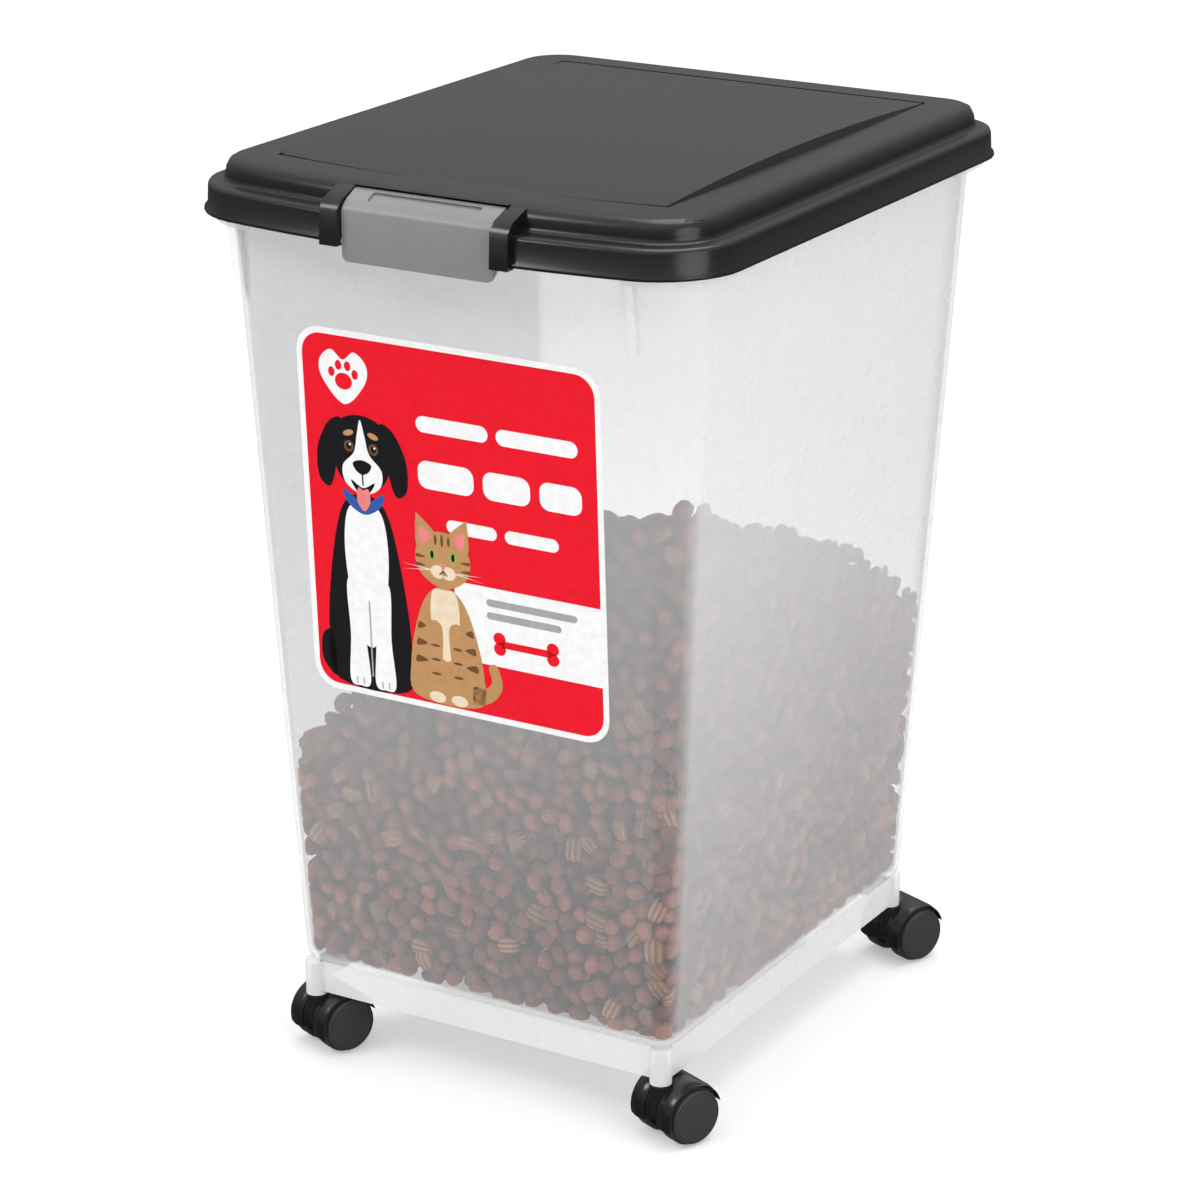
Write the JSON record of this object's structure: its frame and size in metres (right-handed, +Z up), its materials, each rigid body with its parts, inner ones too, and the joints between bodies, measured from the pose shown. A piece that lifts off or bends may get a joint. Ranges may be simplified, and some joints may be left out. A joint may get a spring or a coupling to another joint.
{
  "type": "pet food bin",
  "caption": "Upright wheeled pet food bin: tapered clear tub part full of kibble, hinged dark lid with a front latch, swivelling twin-wheel casters and a front label.",
  "frame": {"origin": "on the floor, under the middle of the overall width and depth", "axes": "+X to the right seen from the front, +Y from the front latch to the back hinge, +Z up"},
  "size_m": [0.385, 0.4746, 0.6376],
  "materials": {
    "clear_plastic": "milky translucent polypropylene, satin",
    "label_paper": "printed glossy sticker",
    "kibble": "dry baked kibble, matte",
    "lid_plastic": "fine grained charcoal polypropylene, satin",
    "seal_rubber": "soft foam rubber",
    "latch_plastic": "mid grey polypropylene, satin",
    "pin_steel": "plated steel",
    "hood_plastic": "black nylon, satin",
    "wheel_plastic": "dark grey nylon, satin"
  },
  "bodies": {
    "tub": {"tub": "clear_plastic", "label": "label_paper", "kibble_fill": "kibble", "hinge_pin_left": "pin_steel", "hinge_pin_right": "pin_steel", "stem_front_left": "pin_steel", "stem_front_right": "pin_steel", "stem_back_left": "pin_steel", "stem_back_right": "pin_steel"},
    "lid": {"lid": "lid_plastic", "lid_gasket": "seal_rubber", "latch_pin": "pin_steel"},
    "latch": {"latch": "latch_plastic"},
    "caster_front_left": {"hood_front_left": "hood_plastic", "axle_front_left": "pin_steel"},
    "roller_front_left_in": {"wheel_front_left_in": "wheel_plastic"},
    "roller_front_left_out": {"wheel_front_left_out": "wheel_plastic"},
    "caster_front_right": {"hood_front_right": "hood_plastic", "axle_front_right": "pin_steel"},
    "roller_front_right_in": {"wheel_front_right_in": "wheel_plastic"},
    "roller_front_right_out": {"wheel_front_right_out": "wheel_plastic"},
    "caster_back_left": {"hood_back_left": "hood_plastic", "axle_back_left": "pin_steel"},
    "roller_back_left_in": {"wheel_back_left_in": "wheel_plastic"},
    "roller_back_left_out": {"wheel_back_left_out": "wheel_plastic"},
    "caster_back_right": {"hood_back_right": "hood_plastic", "axle_back_right": "pin_steel"},
    "roller_back_right_in": {"wheel_back_right_in": "wheel_plastic"},
    "roller_back_right_out": {"wheel_back_right_out": "wheel_plastic"}
  },
  "joints": [
    {"name": "lid_hinge", "type": "hinge", "parent": "tub", "child": "lid", "pos_m": [0, 0.23175, 0.603], "axis": [-1, 0, 0], "range_deg": [0, 110]},
    {"name": "latch_pivot", "type": "hinge", "parent": "lid", "child": "latch", "pos_m": [0, -0.22425, 0.621], "axis": [-1, 0, 0], "range_deg": [0, 100]},
    {"name": "swivel_front_left", "type": "hinge", "parent": "tub", "child": "caster_front_left", "pos_m": [-0.137, -0.16425, 0.035], "axis": [0, 0, 1], "continuous": true},
    {"name": "roll_front_left_in", "type": "hinge", "parent": "caster_front_left", "child": "roller_front_left_in", "pos_m": [-0.13217, -0.15218, 0.0205], "axis": [0.9285, -0.3714, 0], "continuous": true},
    {"name": "roll_front_left_out", "type": "hinge", "parent": "caster_front_left", "child": "roller_front_left_out", "pos_m": [-0.13217, -0.15218, 0.0205], "axis": [0.9285, -0.3714, 0], "continuous": true},
    {"name": "swivel_front_right", "type": "hinge", "parent": "tub", "child": "caster_front_right", "pos_m": [0.137, -0.16425, 0.035], "axis": [0, 0, 1], "continuous": true},
    {"name": "roll_front_right_in", "type": "hinge", "parent": "caster_front_right", "child": "roller_front_right_in", "pos_m": [0.14183, -0.15218, 0.0205], "axis": [0.9285, -0.3714, 0], "continuous": true},
    {"name": "roll_front_right_out", "type": "hinge", "parent": "caster_front_right", "child": "roller_front_right_out", "pos_m": [0.14183, -0.15218, 0.0205], "axis": [0.9285, -0.3714, 0], "continuous": true},
    {"name": "swivel_back_left", "type": "hinge", "parent": "tub", "child": "caster_back_left", "pos_m": [-0.137, 0.17175, 0.035], "axis": [0, 0, 1], "continuous": true},
    {"name": "roll_back_left_in", "type": "hinge", "parent": "caster_back_left", "child": "roller_back_left_in", "pos_m": [-0.13217, 0.18382, 0.0205], "axis": [0.9285, -0.3714, 0], "continuous": true},
    {"name": "roll_back_left_out", "type": "hinge", "parent": "caster_back_left", "child": "roller_back_left_out", "pos_m": [-0.13217, 0.18382, 0.0205], "axis": [0.9285, -0.3714, 0], "continuous": true},
    {"name": "swivel_back_right", "type": "hinge", "parent": "tub", "child": "caster_back_right", "pos_m": [0.137, 0.17175, 0.035], "axis": [0, 0, 1], "continuous": true},
    {"name": "roll_back_right_in", "type": "hinge", "parent": "caster_back_right", "child": "roller_back_right_in", "pos_m": [0.14183, 0.18382, 0.0205], "axis": [0.9285, -0.3714, 0], "continuous": true},
    {"name": "roll_back_right_out", "type": "hinge", "parent": "caster_back_right", "child": "roller_back_right_out", "pos_m": [0.14183, 0.18382, 0.0205], "axis": [0.9285, -0.3714, 0], "continuous": true}
  ]
}
